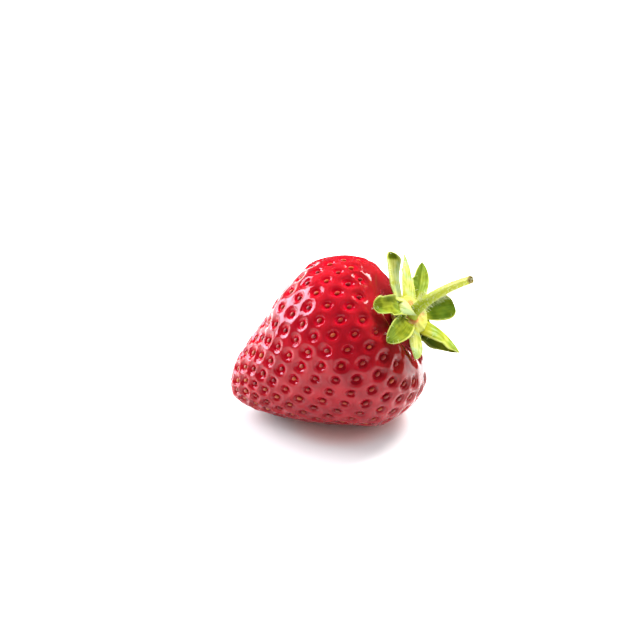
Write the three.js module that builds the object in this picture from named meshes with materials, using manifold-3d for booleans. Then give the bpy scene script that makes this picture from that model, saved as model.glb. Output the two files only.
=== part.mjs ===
// A ripe strawberry that lies on its flank: the berry with its seeds sunk in pits, the leafy
// calyx and the cut stalk. Millimetres, +Z up. The origin is the middle of the flat spot that
// the berry rests on, and +X runs level from its tip towards its stalk end.

import * as THREE from 'three';
import { ConvexGeometry } from 'three/addons/geometries/ConvexGeometry.js';
import { mergeVertices } from 'three/addons/utils/BufferGeometryUtils.js';
import Module from 'manifold-3d';

const wasm = await Module();
wasm.setup();

// ---------------------------------------------------------------- driving dimensions

// The berry's half outline, from the tip along its axis. A fullness says how far the outline
// runs on in its own direction before it turns. The axis leans up from the table by its tilt,
// and the berry's lowest skin is cut flat by the spot's sink.
const BERRY_LENGTH = 41;
const BERRY_RADIUS = 18.9;
const WIDEST_AT = 27.7;
const TIP_FULLNESS = 7.1;
const FLANK_FULLNESS = 1.8;
const SHOULDER_FULLNESS = 6.8;
const RIM_RADIUS = 10.4;
const RIM_FULLNESS = 4.2;
const HOLLOW_DEPTH = 1.6;
const HOLLOW_RADIUS = 4.5;
const HOLLOW_FULLNESS = 1.5;
const AXIS_TILT = 26.4;
const SPOT_SINK = 0.4;

// Broad swellings and dents that keep the berry from being a turned shape: how far along the
// axis, how far round it from the top (degrees), how high and how wide.
const SWELLINGS = [
  { along: 20, round: 0, height: 0.8, reach: 5 },
  { along: 13.5, round: 0, height: -0.6, reach: 4 },
  { along: 4, round: 0, height: 0.5, reach: 5 },
  { along: 36, round: 190, height: 0.5, reach: 7 },
  { along: 22, round: 180, height: -0.3, reach: 9 },
  { along: 30, round: 85, height: 0.6, reach: 9 },
  { along: 18, round: 130, height: -0.4, reach: 8 },
  { along: 41, round: -33, height: -1.5, reach: 8 },
];

// Seeds, which sit a little below the skin in pits of their own. They lie closer together at
// the tip. None grow on the flat spot, or in the bare collar round the calyx, where the skin
// dips from a low ridge.
const SEED_LENGTH = 1.35;
const SEED_WIDTH = 1.0;
const SEED_RISE = 0.5;
const PIT_DEPTH = 0.55;
const PIT_TO_SPACING = 0.33;
const PUFF_HEIGHT = 0.14;
const SPACING_AT_TIP = 2.5;
const SPACING_ON_FLANK = 3.85;
const FLANK_REACHED_AT = 26;
const FIRST_SEED_AT = 0.6;
const BARE_COLLAR_REACH = 14.8;
const BARE_SPOT_RADIUS = 2.3;
const COLLAR_RIDGE_REACH = 16;
const COLLAR_FLOOR_REACH = 13.4;
const COLLAR_DIP = 0.7;
const FILL_SPACING = 1.75;
const FILL_CLEARANCE = 0.75;
const SEED_SIDES = 6;
const PIT_SIDES = 6;
const SEED_START_ANGLE = 1.1;
const GOLDEN_ANGLE = Math.PI * (3 - Math.sqrt(5));

// The calyx: a small disc on a short neck that leans towards the front, and the leaves round it.
const CALYX_LIFT = 43.1;
const CALYX_RISE = 1.1;
const CALYX_FRONT = 1;
const CALYX_ELEVATION = 47;
const CALYX_AZIMUTH = -26.5;
const NECK_RADIUS = 2.9;
const DISC_RADIUS = 4.4;
const DISC_THICKNESS = 0.9;
const LEAF_THICKNESS = 0.62;
const LEAF_ROOT = 2.4;
const LEAF_STEPS = 11;
const LEAF_STRIPS = 4;
const MIN_HALF_WIDTH = 0.28;

// Each leaf: where it leaves the disc, its length and greatest width, the slope it starts and
// ends with against the disc's plane, how far it swings round, how it twists, how sharply it is
// folded along its rib, where it is widest, how broad its foot is and how blunt its tip is.
// A leaf that starts further out says so as its root, and one that has turned over by part of
// its length says where as bent.
const LEAVES = [
  { name: 'top left', round: 92, length: 10.3, width: 4.4, rise: 21, curl: 23, swing: -48,
    twist: 0, fold: 24, widest: 0.85, foot: 0.72, blunt: 0.3 },
  { name: 'top', round: 38, length: 10.8, width: 3.6, rise: 4, curl: 2, swing: 0,
    twist: 12, fold: 12, widest: 0.35, foot: 0.8, blunt: 1 },
  { name: 'top right', round: 10, length: 12.8, width: 4.1, rise: -2, curl: 0, swing: 19,
    twist: -14, fold: 24, widest: 0.55, foot: 0.65, blunt: 0.9 },
  { name: 'right', round: 335, length: 10.8, width: 5.9, rise: 2, curl: 0, swing: 0,
    twist: 8, fold: 8, widest: 0.66, foot: 0.45, blunt: 0.5 },
  { name: 'under right', round: 318, length: 6, width: 3, rise: -14, curl: -40, swing: 0,
    twist: 0, fold: 10, widest: 0.4, foot: 0.7, blunt: 0.9 },
  { name: 'low right', round: 306, length: 10.6, width: 10.4, rise: 4, curl: -8, swing: -48,
    twist: -60, fold: -50, widest: 0.45, foot: 0.6, blunt: 0.8 },
  { name: 'low', round: 218, length: 8.6, width: 3.7, rise: 22, curl: -6, swing: -20,
    twist: 0, fold: -10, widest: 0.5, foot: 0.6, blunt: 0.7 },
  { name: 'low left', round: 179, length: 11.2, width: 4.9, rise: 37, curl: -22, swing: -4,
    twist: 0, fold: 10, widest: 0.6, foot: 0.7, blunt: 0.5 },
  { name: 'left', round: 148, length: 10.3, width: 4.6, rise: 44, curl: -22, swing: -3,
    twist: 0, fold: 14, widest: 0.78, foot: 0.75, blunt: 0.38 },
  { name: 'front', round: 133, length: 6.7, width: 5, rise: -4, curl: 172, swing: -48,
    twist: 0, fold: 10, widest: 0.3, foot: 0.85, blunt: 0.9, root: 3.4, bent: 0.5 },
];

// The stalk: it leaves the disc square to it and bends over towards its cut end.
const STALK_START = 7.1;
const STALK_REACH = 10.6;
const STALK_GAP = 0.75;
const STALK_FOOT_RADIUS = 1.4;
const STALK_RADIUS = 1.25;
const STALK_END_RADIUS = 0.8;
const STALK_START_ELEVATION = 55;
const STALK_START_AZIMUTH = -18;
const STALK_END_ELEVATION = 33;
const STALK_END_AZIMUTH = -34;
const STALK_SIDES = 12;
const STALK_STEPS = 14;

// The air left between two pieces where one rests against the other.
const GAP = 0.3;

// ---------------------------------------------------------------- small helpers

const degrees = THREE.MathUtils.degToRad;
const { clamp, lerp, smoothstep } = THREE.MathUtils;

// A direction from its angle round Z and its height above the level.
function heading(azimuth, elevation) {
  const level = Math.cos(degrees(elevation));
  return new THREE.Vector3(
    level * Math.cos(degrees(azimuth)),
    level * Math.sin(degrees(azimuth)),
    Math.sin(degrees(elevation)),
  );
}

// Keeps a geometry's positions alone and joins the vertices that coincide.
function weld(geometry) {
  geometry.deleteAttribute('normal');
  geometry.deleteAttribute('uv');
  return mergeVertices(geometry, 1e-5);
}

// Moves each vertex of a geometry to where the given function sends it.
function moveVertices(geometry, place) {
  const position = geometry.getAttribute('position');
  const point = new THREE.Vector3();
  for (let i = 0; i < position.count; i += 1) {
    point.fromBufferAttribute(position, i);
    const moved = place(point);
    position.setXYZ(i, moved.x, moved.y, moved.z);
  }
  return geometry;
}

function toManifold(geometry) {
  return new wasm.Manifold(new wasm.Mesh({
    numProp: 3,
    vertProperties: Float32Array.from(geometry.getAttribute('position').array),
    triVerts: Uint32Array.from(geometry.index.array),
  }));
}

function fromManifold(solid) {
  const mesh = solid.getMesh();
  const geometry = new THREE.BufferGeometry();
  geometry.setAttribute('position', new THREE.BufferAttribute(mesh.vertProperties, 3));
  geometry.setIndex(new THREE.BufferAttribute(mesh.triVerts, 1));
  return geometry;
}

function namedMesh(name, geometry, finish) {
  geometry.computeVertexNormals();
  const mesh = new THREE.Mesh(geometry, new THREE.MeshStandardMaterial(finish));
  mesh.name = name;
  return mesh;
}

// ---------------------------------------------------------------- the berry's outline

// The half outline in (distance along the axis, radius), from the tip to the middle of the
// hollow under the calyx.
function berryOutline() {
  const point = (along, radius) => new THREE.Vector2(along, radius);
  const floor = BERRY_LENGTH - HOLLOW_DEPTH;
  const outline = new THREE.CurvePath();
  outline.add(new THREE.CubicBezierCurve(
    point(0, 0),
    point(0, TIP_FULLNESS),
    point(WIDEST_AT - FLANK_FULLNESS, BERRY_RADIUS),
    point(WIDEST_AT, BERRY_RADIUS),
  ));
  outline.add(new THREE.CubicBezierCurve(
    point(WIDEST_AT, BERRY_RADIUS),
    point(WIDEST_AT + SHOULDER_FULLNESS, BERRY_RADIUS),
    point(BERRY_LENGTH, RIM_RADIUS + RIM_FULLNESS),
    point(BERRY_LENGTH, RIM_RADIUS),
  ));
  outline.add(new THREE.CubicBezierCurve(
    point(BERRY_LENGTH, RIM_RADIUS),
    point(BERRY_LENGTH, RIM_RADIUS - RIM_FULLNESS),
    point(floor, HOLLOW_RADIUS + HOLLOW_FULLNESS),
    point(floor, HOLLOW_RADIUS),
  ));
  outline.add(new THREE.LineCurve(point(floor, HOLLOW_RADIUS), point(floor, 0)));
  return outline;
}

// The outline stepped off evenly, with its outward normal at each step.
const OUTLINE_STEPS = 600;
const outline = berryOutline();
const outlineLength = outline.getLength();
const outlinePoints = outline.getSpacedPoints(OUTLINE_STEPS);
const outlineNormals = outlinePoints.map((_, i) => {
  const before = outlinePoints[Math.max(i - 2, 0)];
  const after = outlinePoints[Math.min(i + 2, OUTLINE_STEPS)];
  return new THREE.Vector2(before.y - after.y, after.x - before.x).normalize();
});

// The outline's point and normal at a distance from the tip along the skin.
function onOutline(distance) {
  const step = clamp(distance / outlineLength, 0, 1) * OUTLINE_STEPS;
  const low = Math.min(Math.floor(step), OUTLINE_STEPS - 1);
  return {
    point: outlinePoints[low].clone().lerp(outlinePoints[low + 1], step - low),
    normal: outlineNormals[low].clone().lerp(outlineNormals[low + 1], step - low),
  };
}

// ---------------------------------------------------------------- the berry's place

const tilt = degrees(AXIS_TILT);
const axis = new THREE.Vector3(Math.cos(tilt), 0, Math.sin(tilt));
const topward = new THREE.Vector3(-Math.sin(tilt), 0, Math.cos(tilt));
const backward = new THREE.Vector3(0, 1, 0);

// The lowest point of the tilted outline is where the berry touches the table.
const touch = outlinePoints.reduce((lowest, point) => {
  const height = point.x * Math.sin(tilt) - point.y * Math.cos(tilt);
  return height < lowest.height ? { height, point } : lowest;
}, { height: Infinity, point: null });
const tip = new THREE.Vector3(
  -touch.point.x * Math.cos(tilt) - touch.point.y * Math.sin(tilt),
  0,
  -touch.height - SPOT_SINK,
);

// From berry measures (along the axis, out towards the top, out towards the back) to the table.
function fromBerry(along, up, back) {
  return tip.clone()
    .addScaledVector(axis, along)
    .addScaledVector(topward, up)
    .addScaledVector(backward, back);
}

// ---------------------------------------------------------------- the calyx's place

const calyxAxis = heading(CALYX_AZIMUTH, CALYX_ELEVATION);
const calyxSide = new THREE.Vector3(-calyxAxis.y, calyxAxis.x, 0).normalize();
const calyxTop = new THREE.Vector3().crossVectors(calyxAxis, calyxSide);
const discCentre = fromBerry(CALYX_LIFT, CALYX_RISE, -CALYX_FRONT);

// From calyx measures (out along an angle round the disc, height above it) to the table.
function fromDisc(round, out, height) {
  return discCentre.clone()
    .addScaledVector(calyxSide, out * Math.cos(round))
    .addScaledVector(calyxTop, out * Math.sin(round))
    .addScaledVector(calyxAxis, height);
}

// ---------------------------------------------------------------- points over the berry

// A point of the skin is written as a direction on a ball: its angle from the ball's pole grows
// with the distance from the tip along the skin, so that an even net on one is even on the other.
const skinPerAngle = outlineLength / Math.PI;

function ballDirection(distance, round) {
  return new THREE.Vector3().setFromSphericalCoords(1, distance / skinPerAngle, round);
}

function skinPlace(direction) {
  const spherical = new THREE.Spherical().setFromVector3(direction);
  return { distance: spherical.phi * skinPerAngle, round: spherical.theta };
}

// The two tangents at a direction, in units that turn millimetres on the skin into the ball's.
// Near the poles both ways round are kept from running to nothing.
const LEAST_ACROSS = 0.05;

function tangents(distance, round) {
  const angle = distance / skinPerAngle;
  const radius = Math.max(onOutline(distance).point.y, LEAST_ACROSS);
  return {
    along: new THREE.Vector3(
      Math.cos(angle) * Math.sin(round),
      -Math.sin(angle),
      Math.cos(angle) * Math.cos(round),
    ),
    across: new THREE.Vector3(Math.cos(round), 0, -Math.sin(round)),
    alongScale: skinPerAngle,
    acrossScale: radius / Math.max(Math.sin(angle), LEAST_ACROSS),
  };
}

// Steps off points down the skin so that each has its share of it, a golden angle apart.
const SPIRAL_STEP = 0.02;

function spiral(from, to, spacingAt, startAngle) {
  const places = [];
  let share = 0.5;
  for (let distance = from; distance < to; distance += SPIRAL_STEP) {
    const spacing = spacingAt(distance);
    share += (2 * Math.PI * onOutline(distance).point.y * SPIRAL_STEP) / (spacing * spacing);
    if (share >= 1) {
      share -= 1;
      places.push({ distance, round: startAngle + places.length * GOLDEN_ANGLE, spacing });
    }
  }
  return places;
}

// The smooth skin's place, and where on the ball the table touches.
function smoothPlace({ x, y }, round) {
  return fromBerry(x, y * Math.cos(round), y * Math.sin(round));
}

const touchDistance = (outlineLength * outlinePoints.indexOf(touch.point)) / OUTLINE_STEPS;
const touchDirection = ballDirection(touchDistance, Math.PI);

function seedSpacing(distance) {
  return lerp(SPACING_AT_TIP, SPACING_ON_FLANK, smoothstep(distance, 0, FLANK_REACHED_AT));
}

const seeds = spiral(FIRST_SEED_AT, outlineLength, seedSpacing, SEED_START_ANGLE)
  .map(({ distance, round, spacing }) => ({
    direction: ballDirection(distance, round),
    fromDisc: smoothPlace(onOutline(distance).point, round).distanceTo(discCentre),
    pitRadius: spacing * PIT_TO_SPACING,
    ...tangents(distance, round),
  }))
  .filter(({ fromDisc: apart }) => apart > BARE_COLLAR_REACH)
  .filter(({ direction }) => direction.distanceTo(touchDirection) * skinPerAngle > BARE_SPOT_RADIUS);

// A direction moved by millimetres along and across the skin from a seed.
function besideSeed(seed, along, across) {
  return seed.direction.clone()
    .addScaledVector(seed.along, along / seed.alongScale)
    .addScaledVector(seed.across, across / seed.acrossScale)
    .normalize();
}

// How far a direction lies from a seed along and across the skin.
function offsetFromSeed(seed, direction) {
  return {
    along: direction.dot(seed.along) * seed.alongScale,
    across: direction.dot(seed.across) * seed.acrossScale,
  };
}

function nearestSeed(direction) {
  return seeds.reduce((best, seed) => {
    const apart = seed.direction.distanceToSquared(direction);
    return apart < best.apart ? { apart, seed } : best;
  }, { apart: Infinity, seed: null }).seed;
}

// ---------------------------------------------------------------- the berry

// Height above the smooth skin: a pit with a flat floor, the seed's dome in it, and flesh that
// puffs up a little between the pits. The shares are of the pit's radius.
const PIT_FLOOR_SHARE = 0.6;
const PIT_RIM_SHARE = 1.02;
const PUFF_SHARE = 1.7;

function relief(direction) {
  const seed = nearestSeed(direction);
  const { along, across } = offsetFromSeed(seed, direction);
  const fromPit = Math.hypot(along, across) / seed.pitRadius;
  const fromSeed = Math.hypot(along / (SEED_LENGTH / 2), across / (SEED_WIDTH / 2));
  const pit = -PIT_DEPTH * (1 - smoothstep(fromPit, PIT_FLOOR_SHARE, PIT_RIM_SHARE));
  const dome = SEED_RISE * Math.sqrt(Math.max(0, 1 - fromSeed * fromSeed));
  const puff = PUFF_HEIGHT * smoothstep(fromPit, PIT_RIM_SHARE, PUFF_SHARE);
  return pit + dome + puff;
}

// The dip of the bare collar below its ridge.
function collarDip(place) {
  const apart = place.distanceTo(discCentre);
  return COLLAR_DIP * (1 - smoothstep(apart, COLLAR_FLOOR_REACH, COLLAR_RIDGE_REACH));
}

// The berry's broad swellings, as a height above the turned outline.
const swellings = SWELLINGS.map(({ along, round, height, reach }) => {
  const radius = outlinePoints.find(({ x }) => x >= Math.min(along, BERRY_LENGTH - GAP)).y;
  const angle = degrees(round);
  const centre = fromBerry(along, radius * Math.cos(angle), radius * Math.sin(angle));
  return { centre, height, reach };
});

function swelling(place) {
  return swellings.reduce(
    (sum, { centre, height, reach }) => sum
      + height * Math.exp(-((place.distanceTo(centre) / reach) ** 2)),
    0,
  );
}

function skinPoint(direction) {
  const { distance, round } = skinPlace(direction);
  const { point, normal } = onOutline(distance);
  const smooth = smoothPlace(point, round);
  const height = relief(direction) + swelling(smooth) - collarDip(smooth);
  const along = point.x + normal.x * height;
  const out = Math.max(point.y + normal.y * height, 0);
  const place = fromBerry(along, out * Math.cos(round), out * Math.sin(round));
  place.z = Math.max(place.z, 0);
  return place;
}

function ring(sides, place) {
  return Array.from({ length: sides }, (_, i) => place((2 * Math.PI * i) / sides));
}

function berry() {
  const seedPoints = seeds.flatMap((seed) => [
    seed.direction,
    ...ring(SEED_SIDES, (angle) => besideSeed(
      seed,
      (SEED_LENGTH / 2) * Math.cos(angle),
      (SEED_WIDTH / 2) * Math.sin(angle),
    )),
    ...ring(PIT_SIDES, (angle) => besideSeed(
      seed,
      seed.pitRadius * Math.cos(angle),
      seed.pitRadius * Math.sin(angle),
    )),
  ]);
  const fillPoints = spiral(0, outlineLength, () => FILL_SPACING, 0)
    .map(({ distance, round }) => ballDirection(distance, round))
    .filter((direction) => {
      const seed = nearestSeed(direction);
      const { along, across } = offsetFromSeed(seed, direction);
      return Math.hypot(along, across) > seed.pitRadius + FILL_CLEARANCE;
    });
  const net = weld(new ConvexGeometry([...seedPoints, ...fillPoints]));
  return moveVertices(net, skinPoint);
}

// Bends a shape that was turned about Y from 0 to 1 so that it follows a curve.
function bendAlong(geometry, curve, steps) {
  const frames = curve.computeFrenetFrames(steps);
  return moveVertices(geometry, (point) => {
    const step = clamp(point.y, 0, 1) * steps;
    const low = Math.min(Math.floor(step), steps - 1);
    const mix = step - low;
    const along = (list) => list[low].clone().lerp(list[low + 1], mix).normalize();
    return curve.getPointAt(clamp(point.y, 0, 1))
      .addScaledVector(along(frames.normals), point.x)
      .addScaledVector(along(frames.binormals), -point.z);
  });
}

// ---------------------------------------------------------------- the calyx

// The disc and the short neck that carries it out of the berry's hollow.
function calyxDisc() {
  const foot = fromBerry(BERRY_LENGTH - HOLLOW_DEPTH + PUFF_HEIGHT - COLLAR_DIP + GAP, 0, 0);
  const middle = fromBerry((BERRY_LENGTH - HOLLOW_DEPTH + CALYX_LIFT) / 2, 0, 0);
  const neck = new THREE.QuadraticBezierCurve3(foot, middle, discCentre);
  const length = neck.getLength();
  const profile = [
    [0, 0],
    [NECK_RADIUS, 0],
    [NECK_RADIUS, 0.3],
    [NECK_RADIUS + 0.3, 0.6],
    [DISC_RADIUS - 0.5, 1 - DISC_THICKNESS / length],
    [DISC_RADIUS, 1 - 0.4 / length],
    [DISC_RADIUS - 0.4, 1],
    [0, 1],
  ];
  const turned = new THREE.LatheGeometry(profile.map(([x, y]) => new THREE.Vector2(x, y)), 24);
  return bendAlong(weld(turned), neck, 8);
}

// Half the blade's width at a share of its length: it widens from its foot and runs out in a tip.
function halfWidth(leaf, share) {
  if (share < leaf.widest) {
    return (leaf.width / 2) * lerp(leaf.foot, 1, Math.sin((Math.PI / 2) * (share / leaf.widest)));
  }
  const beyond = (share - leaf.widest) / (1 - leaf.widest);
  return Math.max((leaf.width / 2) * (1 - beyond * beyond) ** leaf.blunt, MIN_HALF_WIDTH);
}

// The rib of a leaf, stepped out from the disc, with the blade's own directions at each step.
function leafRib(leaf) {
  const root = leaf.root ?? LEAF_ROOT;
  const stride = (leaf.length + DISC_RADIUS - root) / LEAF_STEPS;
  const at = fromDisc(degrees(leaf.round), root, -DISC_THICKNESS / 2);
  const rib = [];
  for (let step = 0; step <= LEAF_STEPS; step += 1) {
    const share = step / LEAF_STEPS;
    const slope = degrees(lerp(leaf.rise, leaf.curl, Math.min(share / (leaf.bent ?? 1), 1)));
    const turn = degrees(leaf.round + leaf.swing * share);
    const out = fromDisc(turn, 1, 0).sub(discCentre);
    const forward = out.clone()
      .multiplyScalar(Math.cos(slope))
      .addScaledVector(calyxAxis, Math.sin(slope));
    const flat = new THREE.Vector3().crossVectors(calyxAxis, out).applyAxisAngle(
      forward,
      degrees(leaf.twist * smoothstep(share, 0, 0.4)),
    );
    const up = new THREE.Vector3().crossVectors(forward, flat);
    rib.push({ at: at.clone(), forward, flat, up, share });
    at.addScaledVector(forward, stride);
  }
  return rib;
}

// One leaf as a closed blade: the same net of triangles on both faces and a wall round the edge.
function leafBlade(leaf) {
  const rib = leafRib(leaf);
  const columns = LEAF_STRIPS + 1;
  const middle = (row, column) => {
    const { at, flat, up, share } = rib[clamp(row, 0, LEAF_STEPS)];
    const side = (2 * clamp(column, 0, LEAF_STRIPS)) / LEAF_STRIPS - 1;
    const half = halfWidth(leaf, share);
    const fold = degrees(leaf.fold * smoothstep(share, -0.1, 0.4));
    return at.clone()
      .addScaledVector(flat, side * half * Math.cos(fold))
      .addScaledVector(up, Math.abs(side) * half * Math.sin(fold));
  };
  const faces = [[], []];
  for (let row = 0; row <= LEAF_STEPS; row += 1) {
    for (let column = 0; column < columns; column += 1) {
      const lengthwise = middle(row + 1, column).sub(middle(row - 1, column));
      const crosswise = middle(row, column + 1).sub(middle(row, column - 1));
      const normal = new THREE.Vector3().crossVectors(lengthwise, crosswise).normalize();
      faces[0].push(middle(row, column).addScaledVector(normal, LEAF_THICKNESS / 2));
      faces[1].push(middle(row, column).addScaledVector(normal, -LEAF_THICKNESS / 2));
    }
  }
  const count = faces[0].length;
  const upper = (row, column) => row * columns + column;
  const index = [];
  for (let row = 0; row < LEAF_STEPS; row += 1) {
    for (let column = 0; column < LEAF_STRIPS; column += 1) {
      const [a, b] = [upper(row, column), upper(row, column + 1)];
      const [c, d] = [upper(row + 1, column + 1), upper(row + 1, column)];
      index.push(a, d, c, a, c, b);
      index.push(a + count, c + count, d + count, a + count, b + count, c + count);
    }
  }
  const border = [
    ...Array.from({ length: LEAF_STRIPS }, (_, i) => upper(0, i)),
    ...Array.from({ length: LEAF_STEPS }, (_, i) => upper(i, LEAF_STRIPS)),
    ...Array.from({ length: LEAF_STRIPS }, (_, i) => upper(LEAF_STEPS, LEAF_STRIPS - i)),
    ...Array.from({ length: LEAF_STEPS }, (_, i) => upper(LEAF_STEPS - i, 0)),
  ];
  border.forEach((here, i) => {
    const next = border[(i + 1) % border.length];
    index.push(here, next, next + count, here, next + count, here + count);
  });
  const geometry = new THREE.BufferGeometry().setFromPoints([...faces[0], ...faces[1]]);
  geometry.setIndex(index);
  return geometry;
}

function calyx() {
  const solid = LEAVES
    .map((leaf) => toManifold(leafBlade(leaf)))
    .reduce((whole, blade) => whole.add(blade), toManifold(calyxDisc()));
  return fromManifold(solid);
}

// ---------------------------------------------------------------- the stalk

function stalk() {
  const start = heading(STALK_START_AZIMUTH, STALK_START_ELEVATION);
  const end = heading(STALK_END_AZIMUTH, STALK_END_ELEVATION);
  const foot = discCentre.clone().addScaledVector(calyxAxis, STALK_GAP);
  const knee = foot.clone().addScaledVector(start, STALK_START);
  const cut = knee.clone().addScaledVector(end, STALK_REACH);
  const curve = new THREE.QuadraticBezierCurve3(foot, knee, cut);
  const profile = [new THREE.Vector2(0, 0)];
  for (let step = 0; step <= STALK_STEPS; step += 1) {
    const share = step / STALK_STEPS;
    const flare = (STALK_FOOT_RADIUS - STALK_RADIUS) * Math.exp(-share * 12);
    profile.push(new THREE.Vector2(lerp(STALK_RADIUS, STALK_END_RADIUS, share) + flare, share));
  }
  profile.push(new THREE.Vector2(0, 1));
  return bendAlong(weld(new THREE.LatheGeometry(profile, STALK_SIDES)), curve, STALK_STEPS);
}

// ---------------------------------------------------------------- the whole strawberry

const strawberry = new THREE.Group();
strawberry.add(
  namedMesh('berry', berry(), { color: 0xc4121f, roughness: 0.22, metalness: 0 }),
  namedMesh('calyx', calyx(), { color: 0x7fa22e, roughness: 0.55, metalness: 0 }),
  namedMesh('stalk', stalk(), { color: 0xa9c648, roughness: 0.5, metalness: 0 }),
);

export default strawberry;
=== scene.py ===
# %% [markdown]
# # A ripe strawberry
#
# The berry lies on its flank with its calyx and a short cut stalk turned to the right. The
# imported model already holds its three solids, so this lesson only dresses them. Every finer
# piece is made in the same place and at nearly the same size as the solid that it stands for.
# First the frame is loaded.

# %% Load the frame
import math
import random

import bmesh
import bpy
import numpy as np
from mathutils import Matrix, Vector, noise


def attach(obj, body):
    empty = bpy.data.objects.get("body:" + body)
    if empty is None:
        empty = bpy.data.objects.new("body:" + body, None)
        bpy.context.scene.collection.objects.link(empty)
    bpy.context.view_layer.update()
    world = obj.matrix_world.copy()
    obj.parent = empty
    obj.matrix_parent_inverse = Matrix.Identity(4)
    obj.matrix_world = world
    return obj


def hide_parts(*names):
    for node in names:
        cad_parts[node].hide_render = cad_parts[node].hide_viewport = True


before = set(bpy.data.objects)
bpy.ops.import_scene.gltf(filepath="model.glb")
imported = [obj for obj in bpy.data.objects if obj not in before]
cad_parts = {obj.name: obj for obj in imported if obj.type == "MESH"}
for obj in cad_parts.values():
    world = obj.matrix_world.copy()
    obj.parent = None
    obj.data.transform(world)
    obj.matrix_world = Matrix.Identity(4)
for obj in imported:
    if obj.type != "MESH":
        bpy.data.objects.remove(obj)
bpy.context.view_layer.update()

MM = 0.001

# %% [markdown]
# ## The berry's outline
#
# A strawberry is nearly a turned shape: one half outline, swung round an axis. The outline is
# three Bezier curves, from the tip to the flank, over the shoulder and down into the hollow
# under the calyx. It is stepped off by length, because seeds and skin are both spaced by how
# far they lie from the tip along the skin.

# %% The half outline
BERRY_LENGTH = 41 * MM
BERRY_RADIUS = 18.9 * MM
WIDEST_AT = 27.7 * MM
TIP_FULLNESS = 7.1 * MM
FLANK_FULLNESS = 1.8 * MM
SHOULDER_FULLNESS = 6.8 * MM
RIM_RADIUS = 10.4 * MM
RIM_FULLNESS = 4.2 * MM
HOLLOW_FLOOR = BERRY_LENGTH - 1.6 * MM
HOLLOW_RADIUS = 4.5 * MM
HOLLOW_FULLNESS = 1.5 * MM


def bezier(a, b, c, d, steps=400):
    a, b, c, d = (np.array(point, float) for point in (a, b, c, d))
    t = np.linspace(0, 1, steps)[:, None]
    return (1 - t) ** 3 * a + 3 * (1 - t) ** 2 * t * b + 3 * (1 - t) * t**2 * c + t**3 * d


flank = bezier(
    (0, 0),
    (0, TIP_FULLNESS),
    (WIDEST_AT - FLANK_FULLNESS, BERRY_RADIUS),
    (WIDEST_AT, BERRY_RADIUS),
)
shoulder = bezier(
    (WIDEST_AT, BERRY_RADIUS),
    (WIDEST_AT + SHOULDER_FULLNESS, BERRY_RADIUS),
    (BERRY_LENGTH, RIM_RADIUS + RIM_FULLNESS),
    (BERRY_LENGTH, RIM_RADIUS),
)
hollow = bezier(
    (BERRY_LENGTH, RIM_RADIUS),
    (BERRY_LENGTH, RIM_RADIUS - RIM_FULLNESS),
    (HOLLOW_FLOOR, HOLLOW_RADIUS + HOLLOW_FULLNESS),
    (HOLLOW_FLOOR, HOLLOW_RADIUS),
)
outline = np.concatenate([flank, shoulder[1:], hollow[1:], [[HOLLOW_FLOOR, 0]]])
walked = np.concatenate([[0], np.cumsum(np.linalg.norm(np.diff(outline, axis=0), axis=1))])
OUTLINE_LENGTH = walked[-1]
print("skin from tip to hollow", round(OUTLINE_LENGTH / MM, 1), "mm")

# %% Points and normals on the outline
even = np.linspace(0, OUTLINE_LENGTH, 601)
even_points = np.stack([np.interp(even, walked, outline[:, i]) for i in (0, 1)], axis=1)
slopes = np.gradient(even_points, axis=0)
even_normals = np.stack([-slopes[:, 1], slopes[:, 0]], axis=1)
even_normals /= np.linalg.norm(even_normals, axis=1, keepdims=True)
print(len(even), "even steps on the outline")


def on_outline(distance):
    """Distance along the axis, radius, and the outward normal's two parts."""
    columns = [*even_points.T, *even_normals.T]
    return [np.interp(distance, even, column) for column in columns]


# %% [markdown]
# ## Where the berry lies
#
# The axis leans up from the table, and the berry touches down at the outline's lowest point.
# A few broad swellings keep it from being a perfect turned shape. Each is a soft bump whose
# height fades with the distance from its middle.

# %% Tilt, axis and touching point
AXIS_TILT = math.radians(26.4)
SPOT_SINK = 0.4 * MM
AXIS = np.array([math.cos(AXIS_TILT), 0, math.sin(AXIS_TILT)])
TOPWARD = np.array([-math.sin(AXIS_TILT), 0, math.cos(AXIS_TILT)])
BACKWARD = np.array([0, 1, 0])

heights = even_points @ [math.sin(AXIS_TILT), -math.cos(AXIS_TILT)]
touch = int(np.argmin(heights))
TIP = np.array([
    -even_points[touch] @ [math.cos(AXIS_TILT), math.sin(AXIS_TILT)],
    0,
    -heights[touch] - SPOT_SINK,
])


def from_berry(along, up, back):
    """From berry measures to the table's."""
    parts = np.stack(np.broadcast_arrays(along, up, back), axis=-1)
    return TIP + parts @ np.stack([AXIS, TOPWARD, BACKWARD])


print("tip at", np.round(TIP / MM, 2), "mm")

# %% Broad swellings
SWELLINGS = [  # along the axis, angle round it from the top, height, reach
    (20 * MM, 0, 0.8 * MM, 5 * MM),
    (13.5 * MM, 0, -0.6 * MM, 4 * MM),
    (4 * MM, 0, 0.5 * MM, 5 * MM),
    (36 * MM, 190, 0.5 * MM, 7 * MM),
    (22 * MM, 180, -0.3 * MM, 9 * MM),
    (30 * MM, 85, 0.6 * MM, 9 * MM),
    (18 * MM, 130, -0.4 * MM, 8 * MM),
    (41 * MM, -33, -1.5 * MM, 8 * MM),
]
print(len(SWELLINGS), "swellings and dips")


def swelling(places):
    total = np.zeros(len(places))
    top = int(np.argmax(even_points[:, 0]))
    for along, angle, height, reach in SWELLINGS:
        radius = np.interp(along, even_points[:top, 0], even_points[:top, 1])
        angle = math.radians(angle)
        middle = from_berry(along, radius * math.cos(angle), radius * math.sin(angle))
        total += height * np.exp(-((np.linalg.norm(places - middle, axis=1) / reach) ** 2))
    return total


# %% [markdown]
# ## The calyx's place
#
# The green cap is a small disc on a short neck, with ten leaves round it. It has an axis of its
# own, because it leans towards the front more than the berry does. A place on it is given by
# an angle round the disc, a distance out and a height above it.

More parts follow.
